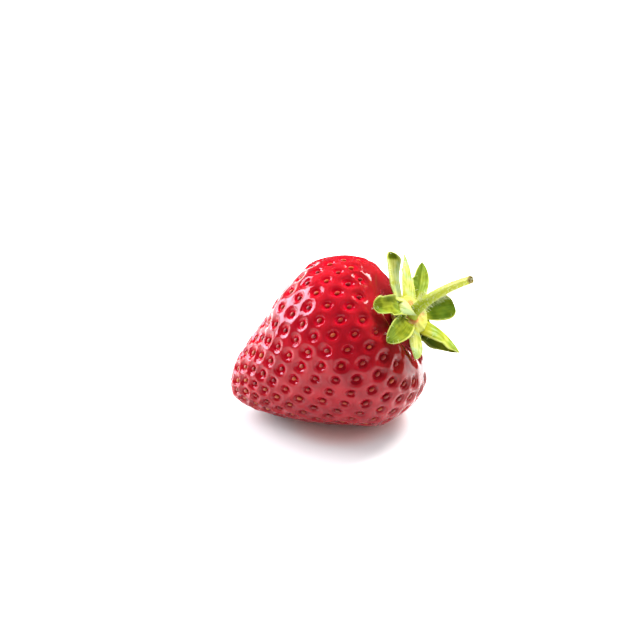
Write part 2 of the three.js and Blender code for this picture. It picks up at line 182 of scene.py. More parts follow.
# %% Directions of the disc
CALYX_LIFT = 43.1 * MM
CALYX_RISE = 1.1 * MM
CALYX_FRONT = 1 * MM
DISC_RADIUS = 4.4 * MM
DISC_THICKNESS = 0.9 * MM
PIECE_GAP = 0.3 * MM


def heading(azimuth, elevation):
    azimuth, elevation = math.radians(azimuth), math.radians(elevation)
    level = math.cos(elevation)
    return Vector((level * math.cos(azimuth), level * math.sin(azimuth), math.sin(elevation)))


calyx_axis = heading(-26.5, 47)
calyx_side = Vector((-calyx_axis.y, calyx_axis.x, 0)).normalized()
calyx_top = calyx_axis.cross(calyx_side)
disc_centre = Vector(from_berry(CALYX_LIFT, CALYX_RISE, -CALYX_FRONT))


def from_disc(angle, out, height):
    flat = calyx_side * math.cos(angle) + calyx_top * math.sin(angle)
    return disc_centre + flat * out + calyx_axis * height


print("disc at", [round(v / MM, 1) for v in disc_centre], "mm")

# %% [markdown]
# ## Seeds
#
# Strawberry seeds follow a spiral, as a sunflower's do: each one is a golden angle further
# round than the last. Walking down the skin, a new seed is due each time that enough skin has
# been passed to give it its share. They crowd at the tip. None grow where the berry touches the
# table, or in the bare collar, which is the skin within reach of the calyx.

# %% Measures of the seed spiral
GOLDEN_ANGLE = math.pi * (3 - math.sqrt(5))
SEED_START_ANGLE = 1.1
SPACING_AT_TIP = 2.5 * MM
SPACING_ON_FLANK = 3.85 * MM
FLANK_REACHED_AT = 26 * MM
FIRST_SEED_AT = 0.6 * MM
BARE_COLLAR_REACH = 14.8 * MM
BARE_SPOT_RADIUS = 2.3 * MM
SPIRAL_STEP = 0.02 * MM
SEED_SIZES = 0.88, 1.1
SEED_TURN = 9
SEED_SHADE_ON_FLANK = 0.35
PIT_AT_TIP = 0.42
PIT_ON_FLANK = 0.38
SKIN_PER_ANGLE = OUTLINE_LENGTH / math.pi
print("golden angle", round(math.degrees(GOLDEN_ANGLE), 1), "degrees")

# %% Places on the skin
def smoothstep(value, low, high):
    t = np.clip((value - low) / (high - low), 0, 1)
    return t * t * (3 - 2 * t)


def ball_direction(distance, angle):
    """The skin as a ball: how far from the tip sets the angle from the ball's pole."""
    polar = np.asarray(distance) / SKIN_PER_ANGLE
    parts = np.sin(polar) * np.cos(angle), np.sin(polar) * np.sin(angle), np.cos(polar)
    return np.stack(np.broadcast_arrays(*parts), axis=-1)


def smooth_skin(distance, angle):
    along, radius, *_ = on_outline(distance)
    return from_berry(along, radius * np.cos(angle), radius * np.sin(angle))


def from_calyx(places):
    return np.linalg.norm(places - np.array(disc_centre), axis=-1)


def is_bare(distance, angle):
    touching = ball_direction(distance, angle) - ball_direction(even[touch], math.pi)
    on_spot = np.linalg.norm(touching) * SKIN_PER_ANGLE <= BARE_SPOT_RADIUS
    return on_spot or from_calyx(smooth_skin(distance, angle)) <= BARE_COLLAR_REACH

# %% Where each seed grows
draw = random.Random(7)
seeds = []
share, placed = 0.5, 0
for distance in np.arange(FIRST_SEED_AT, OUTLINE_LENGTH, SPIRAL_STEP):
    widening = smoothstep(distance, 0, FLANK_REACHED_AT)
    spacing = SPACING_AT_TIP + (SPACING_ON_FLANK - SPACING_AT_TIP) * widening
    share += 2 * math.pi * on_outline(distance)[1] * SPIRAL_STEP / spacing**2
    if share >= 1:
        share -= 1
        angle = SEED_START_ANGLE + placed * GOLDEN_ANGLE
        placed += 1
        if not is_bare(distance, angle):
            size = draw.uniform(*SEED_SIZES)
            seeds.append({
                "distance": distance,
                "angle": angle,
                "size": size,
                "pit": spacing * (PIT_AT_TIP + (PIT_ON_FLANK - PIT_AT_TIP) * widening) * size,
                "turn": math.radians(draw.gauss(0, SEED_TURN)),
                # On the flank the tone is lowered, as painted shade where less light reaches the seeds.
                "tone": draw.random() * (1 - SEED_SHADE_ON_FLANK * widening),
            })
print(len(seeds), "seeds")

# %% [markdown]
# ## The skin
#
# The skin starts as an icosphere, because its triangles are nearly equal everywhere and it has
# no poles. Its triangles are split once more round each seed, and then every vertex is moved
# by one formula: down into a pit under a seed, up in the cushions between, and in at the
# smooth collar that the calyx sits on. The skin also keeps three measures for its material:
# how many pit radii off the nearest seed is, how near the leaves are and how far off the tip.

# %% Sizes of the relief
PIT_DEPTH = 0.5 * MM
PIT_FLOOR_SHARE = 0.48
PIT_RIM_SHARE = 1.0
PIT_SHAPE = 0.92, 1.08
DISH_FROM_SHARE = 0.8
DISH_SHARE = 1.6
DISH_AT_TIP = 0.36 * MM
DISH_ON_FLANK = 0.07 * MM
DISH_BY_COLLAR = 0.24 * MM
DISH_COLLAR_REACH = 20 * MM
LIP_HEIGHT = 0.04 * MM
LIP_AT_SHARE = 1.08
LIP_WIDTH_SHARE = 0.16
CUSHION_HEIGHT = 0.14 * MM
COLLAR_RIDGE_REACH = 16 * MM
COLLAR_FLOOR_REACH = 13.4 * MM
COLLAR_DIP = 0.7 * MM
LEAF_SHADE_REACH = 21 * MM
FOLDS_REACH = 19 * MM
FOLD_HEIGHT = 0.08 * MM
FOLD_SIZE = 0.3
UNEVENNESS = 0.09 * MM
UNEVEN_SIZE = 6 * MM

# %% Pits and the dishes round them
def offset_from(seed, directions):
    """Millimetres along and across the skin from a seed to each direction."""
    polar, angle = seed["distance"] / SKIN_PER_ANGLE, seed["angle"]
    ahead = [math.cos(polar) * math.cos(angle), math.cos(polar) * math.sin(angle), -math.sin(polar)]
    aside = [-math.sin(angle), math.cos(angle), 0]
    width = max(on_outline(seed["distance"])[1], 0.05 * MM) / max(math.sin(polar), 0.05)
    facing = directions @ ball_direction(seed["distance"], angle) > 0
    along = np.where(facing, directions @ ahead * SKIN_PER_ANGLE, 1)
    return along, directions @ aside * width


def dish_depth(distance, reach):
    depth = DISH_AT_TIP + (DISH_ON_FLANK - DISH_AT_TIP) * smoothstep(distance, 0, FLANK_REACHED_AT)
    return depth + DISH_BY_COLLAR * (1 - smoothstep(reach, COLLAR_RIDGE_REACH, DISH_COLLAR_REACH))


def pit_relief(directions, dish):
    """Height of the pits over the cushions between, and how many pit radii off the nearest is."""
    height = np.zeros(len(directions))
    nearest = np.full(len(directions), DISH_SHARE)
    for seed in seeds:
        along, across = offset_from(seed, directions)
        from_pit = np.hypot(along * PIT_SHAPE[0], across * PIT_SHAPE[1]) / seed["pit"]
        near = from_pit < DISH_SHARE
        d = from_pit[near]
        pit = 1 - smoothstep(d, PIT_FLOOR_SHARE, PIT_RIM_SHARE)
        lip = np.exp(-(((d - LIP_AT_SHARE) / LIP_WIDTH_SHARE) ** 2))
        dip = (1 - smoothstep(d, DISH_FROM_SHARE, DISH_SHARE)) * dish[near]
        height[near] = np.minimum(height[near], LIP_HEIGHT * lip - PIT_DEPTH * pit - dip)
        nearest[near] = np.minimum(nearest[near], d)
    return height, nearest

# %% Every point of the skin
def collar_relief(reach, angle):
    """Height of the bare collar's dip and of the shallow folds that run out from it."""
    collar = 1 - smoothstep(reach, COLLAR_FLOOR_REACH, COLLAR_RIDGE_REACH)
    in_folds = smoothstep(reach, 0, COLLAR_FLOOR_REACH)
    in_folds *= 1 - smoothstep(reach, COLLAR_RIDGE_REACH, FOLDS_REACH)
    round_it = [Vector((math.cos(a), math.sin(a), 0)) / FOLD_SIZE for a in angle]
    folds = np.array([noise.noise(place) for place in round_it])
    return FOLD_HEIGHT * folds * in_folds - COLLAR_DIP * collar


def skin_points(directions):
    distance = np.arccos(np.clip(directions[:, 2], -1, 1)) * SKIN_PER_ANGLE
    angle = np.arctan2(directions[:, 1], directions[:, 0])
    along, radius, normal_along, normal_out = on_outline(distance)
    smooth = smooth_skin(distance, angle)
    reach = from_calyx(smooth)
    pits, from_pit = pit_relief(directions, dish_depth(distance, reach))
    collar = collar_relief(reach, angle)
    uneven = np.array([noise.noise(Vector(place) / UNEVEN_SIZE) for place in smooth])
    height = CUSHION_HEIGHT + pits + collar + swelling(smooth) + UNEVENNESS * uneven
    out = np.maximum(radius + normal_out * height, 0)
    places = from_berry(along + normal_along * height, out * np.cos(angle), out * np.sin(angle))
    places[:, 2] = np.maximum(places[:, 2], 0)
    # How deep the leaves' painted shade lies on the flesh, by the distance from the calyx.
    by_leaves = 1 - smoothstep(reach, COLLAR_FLOOR_REACH, LEAF_SHADE_REACH)
    masks = {"from_pit": from_pit, "by_leaves": by_leaves, "from_tip": distance / OUTLINE_LENGTH}
    return places, masks

# %% Make the skin
SKIN_SUBDIVISIONS = 7
SPLIT_BETWEEN = 0.38, 1.1


def directions_of(bm):
    found = np.array([vert.co for vert in bm.verts])
    return found / np.linalg.norm(found, axis=1, keepdims=True)


bm = bmesh.new()
bmesh.ops.create_icosphere(bm, subdivisions=SKIN_SUBDIVISIONS, radius=1)
directions = directions_of(bm)
wanted = np.zeros(len(directions), bool)
for seed in seeds:
    from_pit = np.hypot(*offset_from(seed, directions)) / seed["pit"]
    wanted |= (from_pit > SPLIT_BETWEEN[0]) & (from_pit < SPLIT_BETWEEN[1])
split = [edge for edge in bm.edges if all(wanted[vert.index] for vert in edge.verts)]
bmesh.ops.subdivide_edges(bm, edges=split, cuts=1, use_grid_fill=True)
bmesh.ops.triangulate(bm, faces=bm.faces[:])
places, masks = skin_points(directions_of(bm))
for vert, place in zip(bm.verts, places):
    vert.co = place
bmesh.ops.recalc_face_normals(bm, faces=bm.faces[:])
print("skin", len(bm.faces), "triangles")

# %% Turn a bmesh into a piece
def add_object(name, data):
    made = bpy.data.objects.new(name, data)
    bpy.context.scene.collection.objects.link(made)
    return made


def to_object(bm, name):
    mesh = bpy.data.meshes.new(name)
    bm.to_mesh(mesh)
    bm.free()
    return add_object(name, mesh)


def make_piece(bm, name, node, masks=()):
    """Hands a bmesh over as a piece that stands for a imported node, with its measures."""
    piece = to_object(bm, name)
    mesh = piece.data
    mesh.shade_smooth()
    for mask in masks:
        layer = mesh.attributes.new(mask, "FLOAT", "POINT")
        layer.data.foreach_set("value", np.asarray(masks[mask], np.float32))
    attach(piece, "root")
    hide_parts(node)
    print(name, len(mesh.polygons), "faces")
    return piece


skin = make_piece(bm, "berry_skin", "berry", masks)

# %% [markdown]
# ## The seeds themselves
#
# Each seed is a small hard nutlet, a little egg with its sharper end towards the berry's tip.
# They are all one piece with some eighty faces each, because there are hundreds of them. Each gets its
# own slight turn, size and tone, drawn from a seeded random source, and on the flank the tone is
# lowered as painted shade.

# %% The shape of a seed, and how it lies
SEED_LENGTH = 1.2 * MM
SEED_WIDTH = 0.8 * MM
SEED_THICKNESS = 0.6 * MM
SEED_REST_SHARE = 0.3
SHARPNESS = 1.8


def skin_frame(distance, angle):
    """Directions towards the tip, across and outward at a place on the smooth skin."""
    step = 0.2 * MM
    towards_tip = Vector(smooth_skin(distance - step, angle) - smooth_skin(distance + step, angle))
    across = Vector(smooth_skin(distance, angle + 0.02) - smooth_skin(distance, angle - 0.02))
    outward = across.cross(towards_tip).normalized()
    if outward.dot(Vector(smooth_skin(distance, angle) - from_berry(WIDEST_AT, 0, 0))) < 0:
        outward.negate()
    towards_tip.normalize()
    return towards_tip, outward.cross(towards_tip), outward


def egg(shape):
    """Widths along a nutlet: its sharper end is at x = 0.5."""
    return 1 - SHARPNESS * max(shape.x, 0) ** 2

# %% Make the seeds
bm = bmesh.new()
tones = []
for seed in seeds:
    towards_tip, across, outward = skin_frame(seed["distance"], seed["angle"])
    base = smooth_skin(seed["distance"], seed["angle"])
    reach = from_calyx(base)
    floor = CUSHION_HEIGHT - PIT_DEPTH - dish_depth(seed["distance"], reach)
    collar = collar_relief(reach, [seed["angle"]])[0]
    lift = floor + SEED_THICKNESS * SEED_REST_SHARE + swelling(base[None])[0] + collar
    place = Vector(base) + outward * float(lift)
    turn = Matrix.Rotation(seed["turn"], 3, outward)
    made = bmesh.ops.create_icosphere(bm, subdivisions=2, radius=0.5)
    for vert in made["verts"]:
        shape = vert.co.copy()
        local = (
            towards_tip * (shape.x * SEED_LENGTH)
            + across * (shape.y * SEED_WIDTH * egg(shape))
            + outward * (shape.z * SEED_THICKNESS * egg(shape))
        )
        vert.co = place + turn @ local * seed["size"]
        vert.co.z = max(vert.co.z, 0)
        tones.append(seed["tone"])
seed_piece = make_piece(bm, "seeds", "berry", {"tone": tones})

# %% Bend a straight shape along a curve
def bend_along(verts, start, knee, end):
    """Moves verts whose height runs from 0 to 1 onto a curve with one bend."""
    side = (end - start).cross(Vector((0, 0, 1))).normalized()
    length = (end - start).length
    for vert in verts:
        t = min(max(vert.co.z, 0), 1)
        ahead = ((knee - start) * (1 - t) + (end - knee) * t).normalized()
        on_curve = start * (1 - t) ** 2 + knee * (2 * t * (1 - t)) + end * t**2
        on_curve += ahead * (vert.co.z - t) * length
        across = (side - ahead * side.dot(ahead)).normalized()
        vert.co = on_curve + across * vert.co.x + ahead.cross(across) * vert.co.y


# %% [markdown]
# ## The disc
#
# The disc is turned: a few points of its profile are spun once round. The spin's last copy is
# merged with its first, and the two ends on the axis are merged into one point each. A little
# unevenness is pressed into its face, because it is soft tissue and not a made thing.

# %% The disc's profile
neck_foot = Vector(from_berry(HOLLOW_FLOOR + CUSHION_HEIGHT - COLLAR_DIP + PIECE_GAP, 0, 0))
neck_middle = Vector(from_berry((HOLLOW_FLOOR + CALYX_LIFT) / 2, 0, 0))
neck_length = (disc_centre - neck_foot).length
DISC_PROFILE = [  # radius in mm, height as a share of the neck and the disc
    (0, 0),
    (2.9, 0),
    (2.9, 0.3),
    (3.3, 0.6),
    (3.9, 1 - 0.9 * MM / neck_length),
    (4.3, 1 - 0.6 * MM / neck_length),
    (4.4, 1 - 0.3 * MM / neck_length),
    (4.1, 0.985),
    (3.4, 1),
    (2.4, 0.985),
    (1.6, 0.99),
    (0, 1),
]
print("neck and disc", round(neck_length / MM, 1), "mm tall")

# %% Make the disc
DISC_STEPS = 72
DISC_ROUGHNESS = 0.25 * MM
DISC_GRAIN = 0.9 * MM
bm = bmesh.new()
profile = [bm.verts.new((radius * MM, 0, height)) for radius, height in DISC_PROFILE]
rims = [bm.edges.new(pair) for pair in zip(profile, profile[1:])]
bmesh.ops.subdivide_edges(bm, edges=rims[3:], cuts=2)
bmesh.ops.spin(
    bm,
    geom=bm.verts[:] + bm.edges[:],
    cent=(0, 0, 0),
    axis=(0, 0, 1),
    angle=2 * math.pi,
    steps=DISC_STEPS,
    use_merge=True,
)
bmesh.ops.remove_doubles(bm, verts=bm.verts[:], dist=0.001 * MM)
for vert in bm.verts:
    rough = noise.noise(Vector((vert.co.x, vert.co.y, 0)) / DISC_GRAIN)
    if vert.co.z > 0.8:
        vert.co.z += rough * DISC_ROUGHNESS / neck_length
reach = [math.hypot(vert.co.x, vert.co.y) / DISC_RADIUS for vert in bm.verts]
bend_along(bm.verts, neck_foot, neck_middle, disc_centre)
bmesh.ops.recalc_face_normals(bm, faces=bm.faces[:])
disc = make_piece(bm, "calyx_disc", "calyx", {"reach": reach})

# %% [markdown]
# ## The leaves of the calyx
#
# Each leaf is one flat grid that is given its thickness first and its shape after. A rib walks
# out from the disc, and slope, swing and twist turn it as it goes. The blade spreads to both
# sides of the rib, folds up along it, and its edges wave or roll. Thickness goes on before the
# bending, so that both faces bend as one.
#
# In the list, angles are in degrees, lengths in millimetres and the rest are shares. "round" is
# a leaf's place round the disc, "rise" and "curl" are its slope at the foot and at the tip,
# "swing" is how far it turns sideways, and "fold" how steeply its halves rise from the rib.
# "widest", "foot", "waist" and "blunt" set its outline, and the "pale" values its tones; the darker
# tone beyond the rib and the shaded tip are painted shade.

# %% The ten leaves
LEAF_THICKNESS = 0.36 * MM
LEAF_STEPS = 48
LEAF_STRIPS = 20
BEND_STARTS_AT = 0.045
LEAF_DEFAULTS = {
    "root": 2.4, "bent": 1, "cup": 0, "wave": 0, "waves": 1.5, "roll": 0, "hood": 0, "crumple": 0,
    "tooth_at": 0.5, "tooth": 0, "pale": 0.5, "pale_beyond": None, "pale_under": 0.7, "dark_tip": 0,
    "waist": 1, "shade_to": 2,
}
LEAVES = {
    "top_left": {
        "round": 92, "length": 10.3, "width": 4.4, "rise": 21, "curl": 23, "swing": -48, "twist": 0,
        "fold": 16, "widest": 0.84, "foot": 0.55, "blunt": 0.5, "pale": 0.9, "pale_under": 0.5,
        "hood": 10, "wave": 0.1, "cup": 0.3, "dark_tip": 0.75, "waist": 2.5,
    },
    "top": {
        "round": 38, "length": 10.8, "width": 4.1, "rise": 4, "curl": 2, "swing": 0, "twist": 12,
        "fold": 12, "widest": 0.35, "foot": 0.8, "blunt": 1, "pale": 0.85, "pale_under": 0.5,
        "tooth_at": 0.62, "tooth": 0.5, "wave": 0.08,
    },
    "top_right": {
        "round": 10, "length": 12.8, "width": 4.1, "rise": -2, "curl": 0, "swing": 19, "twist": -14,
        "fold": 24, "widest": 0.55, "foot": 0.65, "blunt": 0.9, "pale": 0.58, "pale_beyond": 0.36,
        "pale_under": 0.4, "wave": 0.06, "tooth_at": 0.55, "tooth": 0.35,
    },
    "right": {
        "round": 335, "length": 10.8, "width": 5.9, "rise": 2, "curl": 0, "swing": 0, "twist": 8,
        "fold": 8, "widest": 0.66, "foot": 0.45, "blunt": 0.5, "pale": 0.1, "pale_under": 0.5,
        "cup": 0.12,
    },
    "under_right": {
        "round": 318, "length": 6, "width": 3, "rise": -14, "curl": -40, "swing": 0, "twist": 0,
        "fold": 10, "widest": 0.4, "foot": 0.7, "blunt": 0.9, "pale": 0.5, "pale_under": 0.4,
    },
    "low_right": {
        "round": 306, "length": 10.6, "width": 10.4, "rise": 4, "curl": -8, "swing": -48,
        "twist": -60, "fold": -50, "widest": 0.45, "foot": 0.6, "blunt": 0.8, "pale": 0.65,
        "pale_beyond": 0.12, "shade_to": 0.6, "pale_under": 0.3, "wave": 0.04, "waves": 2.5,
    },
    "low": {
        "round": 218, "length": 8.6, "width": 3.7, "rise": 22, "curl": -6, "swing": -20, "twist": 0,
        "fold": -10, "widest": 0.5, "foot": 0.6, "blunt": 0.7, "pale": 0.85, "pale_under": 0.5,
        "wave": 0.07,
    },
    "low_left": {
        "round": 179, "length": 11.2, "width": 4.9, "rise": 37, "curl": -22, "swing": -4,
        "twist": 0, "fold": 10, "widest": 0.6, "foot": 0.7, "blunt": 0.5, "pale": 0.42,
        "pale_under": 0.5, "wave": 0.1, "roll": 0.25, "crumple": 0.12,
    },
    "left": {
        "round": 148, "length": 10.3, "width": 4.6, "rise": 44, "curl": -22, "swing": -3, "twist": 0,
        "fold": 14, "widest": 0.78, "foot": 0.75, "blunt": 0.38, "pale": 0.48, "pale_under": 0.6,
        "wave": 0.2, "waves": 2.5, "roll": 0.3, "crumple": 0.4,
    },
    "front": {
        "round": 133, "length": 6.7, "width": 5, "rise": -4, "curl": 172, "swing": -48,
        "twist": 0, "fold": 10, "widest": 0.3, "foot": 0.85, "blunt": 0.9, "root": 3.4,
        "bent": 0.5, "pale": 0.25, "pale_under": 0.95, "wave": 0.08,
    },
}

# %% The rib of a leaf
TWISTED_BY = 0.4
HOOD_FROM = 0.8


def leaf_rib(leaf):
    """Places, and the blade's own two directions, at even steps from the disc to the tip."""
    stride = (leaf["length"] * MM + DISC_RADIUS - leaf["root"] * MM) / LEAF_STEPS
    at = from_disc(math.radians(leaf["round"]), leaf["root"] * MM, -DISC_THICKNESS / 2)
    rib = []
    for step in range(LEAF_STEPS + 1):
        share = step / LEAF_STEPS
        gone = max(share - BEND_STARTS_AT, 0)
        slope = leaf["rise"] + (leaf["curl"] - leaf["rise"]) * min(gone / leaf["bent"], 1)
        slope = math.radians(slope + leaf["hood"] * smoothstep(share, HOOD_FROM, 1))
        turn = math.radians(leaf["round"] + leaf["swing"] * gone)
        out = from_disc(turn, 1, 0) - disc_centre
        forward = out * math.cos(slope) + calyx_axis * math.sin(slope)
        twist = math.radians(leaf["twist"] * smoothstep(share, 0, TWISTED_BY))
        flat = Matrix.Rotation(twist, 3, forward) @ calyx_axis.cross(out)
        rib.append((at.copy(), flat, forward.cross(flat)))
        at += forward * stride
    return rib

# %% The blade round its rib
CRUMPLE_SIZE = 1.6 * MM
TOOTH_WIDTH = 0.03
ROLL_FROM = 0.55


def half_width(leaf, share):
    half = leaf["width"] * MM / 2
    if share < leaf["widest"]:
        spread = math.sin(math.pi / 2 * share / leaf["widest"]) ** leaf["waist"]
        return half * (leaf["foot"] + (1 - leaf["foot"]) * spread)
    beyond = (share - leaf["widest"]) / (1 - leaf["widest"])
    return half * max(1 - beyond * beyond, 0.002) ** leaf["blunt"]


def middle_surface(leaf):
    """The blade's middle as an array of points, rows from foot to tip, columns across."""
    rows = []
    for step, (at, flat, up) in enumerate(leaf_rib(leaf)):
        share = step / LEAF_STEPS
        half = half_width(leaf, share)
        fold = math.radians(leaf["fold"] * smoothstep(share, -0.1, 0.4))
        row = []
        for column in range(LEAF_STRIPS + 1):
            side = 2 * column / LEAF_STRIPS - 1
            tooth = math.exp(-(((share - leaf["tooth_at"]) / TOOTH_WIDTH) ** 2)) * (side > 0.5)
            bent = math.sqrt(side * side + 0.02) - math.sqrt(0.02)
            rise = bent * math.sin(fold) + leaf["cup"] * side * side * smoothstep(share, 0.2, 0.9)
            rise += leaf["roll"] * max(abs(side) - ROLL_FROM, 0) ** 2 / 0.2
            rise += leaf["wave"] * math.sin(leaf["waves"] * math.tau * share + side) * side * side
            aside = side * half * math.cos(fold) + leaf["tooth"] * tooth * MM
            place = at + flat * aside + up * (rise * half)
            crumple = leaf["crumple"] * MM * noise.noise(place / CRUMPLE_SIZE)
            row.append(place + up * crumple * smoothstep(share, 0.2, 0.6))
        rows.append(row)
    return np.array(rows)

# %% Make the leaves
EDGE_THINNING = 0.55
MIDRIB_HEIGHT = 0.5
MIDRIB_WIDTH = 0.12


def paleness(leaf, share, side, upper):
    """How pale the blade is: one tone on each side of its rib, the far side's painted as shade where
    that half turns from the light, and one underneath.
    """
    if not upper:
        return leaf["pale_under"]
    beyond = leaf["pale"] if leaf["pale_beyond"] is None else leaf["pale_beyond"]
    # The far side of the rib, out to shade_to, takes the darker tone: painted shade where that half
    # turns from the light.
    shaded = smoothstep(side, -0.08, 0.08)
    shaded *= 1 - smoothstep(side, leaf["shade_to"] - 0.15, leaf["shade_to"])
    tone = leaf["pale"] + (beyond - leaf["pale"]) * shaded
    # Painted shade inside the hooded tip: its hollow is darkened, all but the very rim.
    hollow = leaf["dark_tip"] * smoothstep(share, 0.84, 0.9) * (1 - smoothstep(abs(side), 0.6, 0.85))
    return tone * (1 - hollow * (share < 0.985))


def leaf_blade(name, leaf):
    surface = middle_surface(leaf)
    lengthwise, crosswise = np.gradient(surface, axis=0), np.gradient(surface, axis=1)
    normals = np.cross(lengthwise, crosswise)
    normals /= np.linalg.norm(normals, axis=2, keepdims=True)
    bm = bmesh.new()
    bmesh.ops.create_grid(bm, x_segments=LEAF_STEPS, y_segments=LEAF_STRIPS, size=1)
    bmesh.ops.solidify(bm, geom=bm.faces[:], thickness=0.1)
    masks = {"along": [], "across": [], "pale": []}
    middle_height = sum(vert.co.z for vert in bm.verts) / len(bm.verts)
    for vert in bm.verts:
        row = round((vert.co.x + 1) / 2 * LEAF_STEPS)
        column = round((vert.co.y + 1) / 2 * LEAF_STRIPS)
        share, side = row / LEAF_STEPS, 2 * column / LEAF_STRIPS - 1
        upper = vert.co.z > middle_height
        thin = 1 - EDGE_THINNING * smoothstep(abs(side), 0.5, 1)
        midrib = MIDRIB_HEIGHT * max(1 - abs(side) / MIDRIB_WIDTH, 0)
        offset = LEAF_THICKNESS / 2 * (thin + (0 if upper else midrib))
        vert.co = Vector(surface[row, column] + normals[row, column] * (offset if upper else -offset))
        masks["along"].append(share)
        masks["across"].append(side)
        masks["pale"].append(paleness(leaf, share, side, upper))
    bmesh.ops.recalc_face_normals(bm, faces=bm.faces[:])
    return make_piece(bm, "leaf_" + name, "calyx", masks)


LEAVES = {name: {**LEAF_DEFAULTS, **leaf} for name, leaf in LEAVES.items()}
leaf_pieces = [leaf_blade(name, leaf) for name, leaf in LEAVES.items()]

# %% [markdown]
# ## The stalk
#
# The stalk is a round rod with many rings, bent along a curve. It is a little ribbed, it flares
# out where it joins the disc, and its cut end has a firm rim round a soft, sunken middle.

# %% The stalk's curve
STALK_START = 7.1 * MM
STALK_REACH = 10.6 * MM
STALK_GAP = 0.75 * MM
STALK_ROOT = 0.7 * MM
leaving = heading(-18, 55)
stalk_foot = disc_centre + calyx_axis * STALK_GAP
stalk_knee = stalk_foot + leaving * STALK_START
stalk_cut = stalk_knee + heading(-34, 33) * STALK_REACH
stalk_foot -= leaving * STALK_ROOT
print("stalk ends at", [round(v / MM, 1) for v in stalk_cut], "mm")

# %% Make the stalk
STALK_FOOT_RADIUS = 1.7 * MM
STALK_RADIUS = 1.28 * MM
STALK_END_RADIUS = 0.82 * MM
STALK_FLARE = 16
STALK_RIBS = 5
STALK_RIB_HEIGHT = 0.025
STALK_SIDES = 32
STALK_RINGS = 60
CUT_END_STEPS = (0.16, 0.006), (0.16, -0.012), (0.3, -0.02)
bm = bmesh.new()
bmesh.ops.create_cone(bm, cap_ends=True, segments=STALK_SIDES, radius1=1, radius2=1, depth=1)
bmesh.ops.translate(bm, verts=bm.verts[:], vec=(0, 0, 0.5))
sides = [edge for edge in bm.edges if abs(edge.verts[0].co.z - edge.verts[1].co.z) > 0.5]
cut_face = max(bm.faces, key=lambda face: face.calc_center_median().z)
bmesh.ops.subdivide_edges(bm, edges=sides, cuts=STALK_RINGS)
for thickness, depth in CUT_END_STEPS:
    bmesh.ops.inset_region(bm, faces=[cut_face], thickness=thickness, depth=depth)
bmesh.ops.triangulate(bm, faces=[cut_face])
shares, inward = [], []
for vert in bm.verts:
    share = vert.co.z
    around = math.atan2(vert.co.y, vert.co.x)
    radius = STALK_RADIUS + (STALK_END_RADIUS - STALK_RADIUS) * min(share, 1)
    radius += (STALK_FOOT_RADIUS - STALK_RADIUS) * math.exp(-share * STALK_FLARE)
    radius *= 1 + STALK_RIB_HEIGHT * math.cos(STALK_RIBS * around + 3 * share)
    shares.append(share)
    inward.append(1 - math.hypot(vert.co.x, vert.co.y))
    vert.co.x *= radius
    vert.co.y *= radius
bend_along(bm.verts, stalk_foot, stalk_knee, stalk_cut)
bmesh.ops.recalc_face_normals(bm, faces=bm.faces[:])
stalk = make_piece(bm, "stalk_skin", "stalk", {"along": shares, "inward": inward})

# %% [markdown]
# ## Hairs
#
# Strawberry stalks and leaf edges carry fine silky hairs, and against a dark leaf they are easy to see.
# Each hair is a three-sided cone. They grow at random places, those on the stalk lean a little towards
# its cut end, and they are gathered in one piece on the stalk and one on the calyx.

# %% One hair
HAIR_RADIUS = 0.032 * MM
HAIR_LEAN = 0.25
STALK_HAIRS = 600
STALK_HAIR_LENGTHS = 0.6 * MM, 1.4 * MM
LEAF_HAIRS = 34
LEAF_HAIR_LENGTHS = 0.25 * MM, 0.7 * MM


def add_hair(bm, root, direction, length):
    standing = direction.to_track_quat("Z", "Y").to_matrix().to_4x4()
    middle = Matrix.Translation(root + direction * length / 2)
    bmesh.ops.create_cone(
        bm,
        cap_ends=True,
        segments=3,
        radius1=HAIR_RADIUS,
        radius2=HAIR_RADIUS * 0.3,
        depth=length,
        matrix=middle @ standing,
    )


def random_direction():
    return Vector([draw.gauss(0, 1) for _ in range(3)]).normalized()


# %% Hairs on the stalk
bm = bmesh.new()
for _ in range(STALK_HAIRS):
    vert = draw.choice(stalk.data.vertices)
    share = stalk.data.attributes["along"].data[vert.index].value
    if 0.06 < share < 0.98:
        lean = ((stalk_cut - stalk_foot).normalized() + random_direction()) * HAIR_LEAN
        add_hair(bm, vert.co, (vert.normal + lean).normalized(), draw.uniform(*STALK_HAIR_LENGTHS))
stalk_hairs = make_piece(bm, "stalk_hairs", "stalk")

# %% Hairs on the leaves
bm = bmesh.new()
for blade in leaf_pieces:
    along = blade.data.attributes["along"].data
    across = blade.data.attributes["across"].data
    by_edge = [abs(side.value) > 0.8 or share.value > 0.93 for side, share in zip(across, along)]
    edge = [vert for vert in blade.data.vertices if by_edge[vert.index]]
    for vert in draw.choices(edge, k=LEAF_HAIRS):
        lean = random_direction() * 2 * HAIR_LEAN
        add_hair(bm, vert.co, (vert.normal + lean).normalized(), draw.uniform(*LEAF_HAIR_LENGTHS))
leaf_hairs = make_piece(bm, "leaf_hairs", "calyx")

# %% [markdown]
# ## A small language for materials
#
# Shader maths reads best as plain arithmetic. A Value wraps one socket, and adding or
# multiplying Values adds the Math nodes. Everything else goes through one method that makes a
# node, first with its settings and then with what feeds its sockets.

# %% Values
class Value:
    """A socket whose arithmetic adds Math nodes."""

    def __init__(self, finish, socket):
        self.finish, self.socket = finish, socket

    def maths(self, operation, first, second):
        made = self.finish.node("ShaderNodeMath", {"operation": operation}, {0: first, 1: second})
        return made["Value"]

    def __add__(self, other):
        return self.maths("ADD", self, other)

    def __sub__(self, other):
        return self.maths("SUBTRACT", self, other)

    def __rsub__(self, other):
        return self.maths("SUBTRACT", other, self)

    def __mul__(self, other):
        return self.maths("MULTIPLY", self, other)

    def __pow__(self, other):
        return self.maths("POWER", self, other)

    __radd__, __rmul__ = __add__, __mul__

